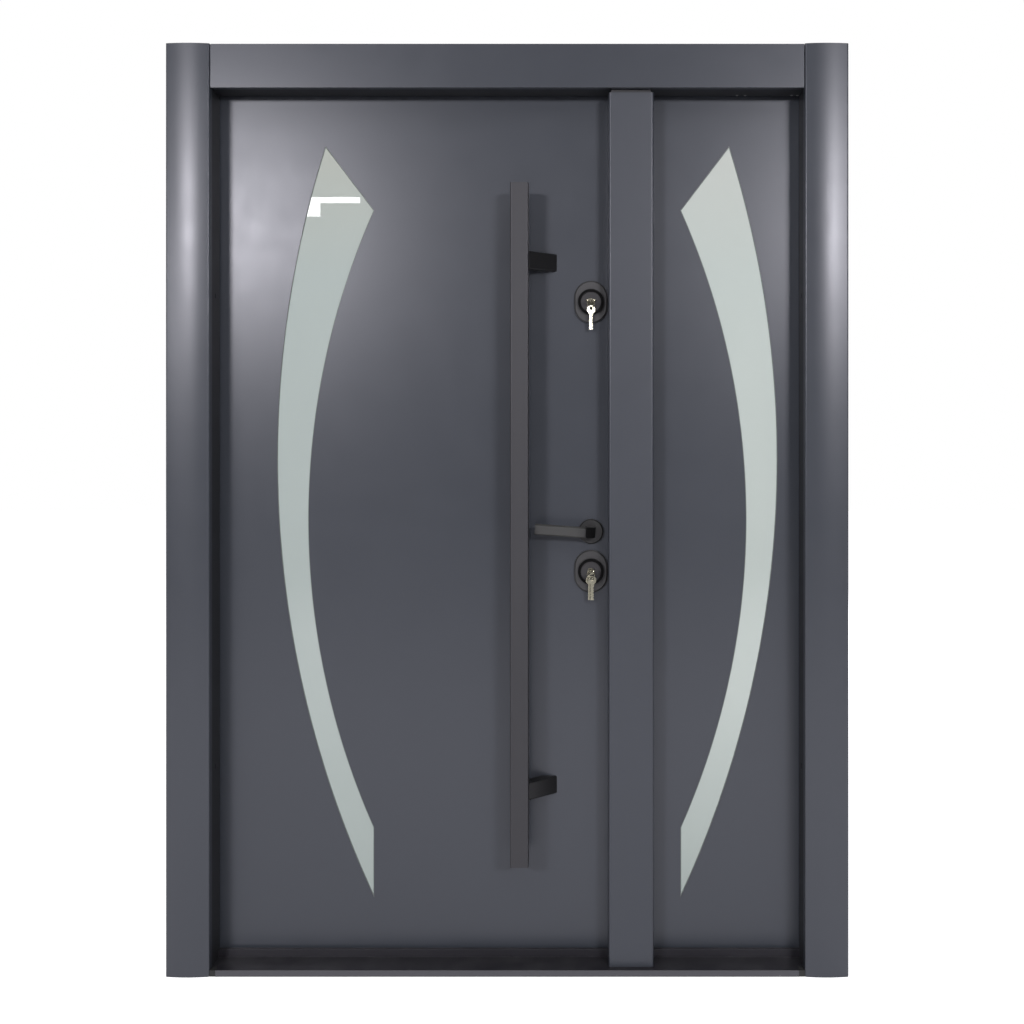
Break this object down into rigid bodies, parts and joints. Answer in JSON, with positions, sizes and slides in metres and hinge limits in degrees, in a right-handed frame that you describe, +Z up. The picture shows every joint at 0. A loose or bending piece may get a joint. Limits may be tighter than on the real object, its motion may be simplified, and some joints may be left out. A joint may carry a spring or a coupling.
{
  "type": "entrance door",
  "caption": "Steel entrance door with a wide and a narrow inward leaf, a fixed centre post, crescent glass, a long pull bar, a lever handle and keyed locks.",
  "frame": {"origin": "on the underside of the threshold, at the middle of the door's width, in the plane of the outer wall face", "axes": "+X to the right seen from the street, +Y from the street into the house, +Z up"},
  "size_m": [1.5, 0.221, 2.05],
  "materials": {
    "anthracite_paint": "satin",
    "leaf_core": "satin edge over a paper honeycomb filling",
    "frosted_glass": "frosted behind gloss",
    "black_rubber": "matte",
    "dark_threshold": "gloss",
    "black_metal": "satin",
    "pull_steel": "satin",
    "fittings": "satin",
    "bright_steel": "zinc plated",
    "key_nickel": "nickel plated"
  },
  "bodies": {
    "frame": {"left_jamb": "anthracite_paint", "right_jamb": "anthracite_paint", "frame_head": "anthracite_paint", "left_casing": "anthracite_paint", "right_casing": "anthracite_paint", "head_casing": "anthracite_paint", "threshold": "dark_threshold", "threshold_stop": "dark_threshold", "post_cover": "anthracite_paint", "post_spigot": "anthracite_paint", "post_core": "anthracite_paint", "main_leaf_seal": "black_rubber", "side_leaf_seal": "black_rubber", "main_leaf_hinge_frame_halves": "bright_steel", "side_leaf_hinge_frame_halves": "bright_steel"},
    "main_leaf": {"main_leaf_outer_panel": "anthracite_paint", "main_leaf_core": "leaf_core", "main_leaf_inner_panel": "anthracite_paint", "main_leaf_outer_glass": "frosted_glass", "main_leaf_inner_glass": "frosted_glass", "main_leaf_hinge_leaf_halves": "bright_steel", "pull_bar": "pull_steel", "upper_pull_arm": "black_metal", "lower_pull_arm": "black_metal", "outer_lock_plates": "fittings", "inner_lock_plates": "fittings", "lock_collars": "black_metal", "spare_keys": "key_nickel", "lock_faceplates": "bright_steel"},
    "side_leaf": {"side_leaf_outer_panel": "anthracite_paint", "side_leaf_core": "leaf_core", "side_leaf_inner_panel": "anthracite_paint", "side_leaf_outer_glass": "frosted_glass", "side_leaf_inner_glass": "frosted_glass", "side_leaf_hinge_leaf_halves": "bright_steel"},
    "lever": {"outer_lever": "fittings", "inner_lever": "fittings"},
    "upper_key": {"upper_key": "key_nickel"},
    "lower_key": {"lower_key": "key_nickel"}
  },
  "joints": [
    {"name": "main_leaf_swing", "type": "hinge", "parent": "frame", "child": "main_leaf", "pos_m": [-0.6715, 0.15, 0], "axis": [0, 0, 1], "range_deg": [0, 100]},
    {"name": "side_leaf_swing", "type": "hinge", "parent": "frame", "child": "side_leaf", "pos_m": [0.6715, 0.15, 0], "axis": [0, 0, -1], "range_deg": [0, 100]},
    {"name": "lever_turn", "type": "hinge", "parent": "main_leaf", "child": "lever", "pos_m": [0.184, 0.1, 0.971], "axis": [0, -1, 0], "range_deg": [0, 40], "stiffness_Nm_per_rad": 1.5, "springref_deg": -28.65},
    {"name": "upper_key_turn", "type": "hinge", "parent": "main_leaf", "child": "upper_key", "pos_m": [0.184, 0.05, 1.489], "axis": [0, -1, 0], "continuous": true},
    {"name": "lower_key_turn", "type": "hinge", "parent": "main_leaf", "child": "lower_key", "pos_m": [0.184, 0.05, 0.881], "axis": [0, -1, 0], "continuous": true}
  ]
}
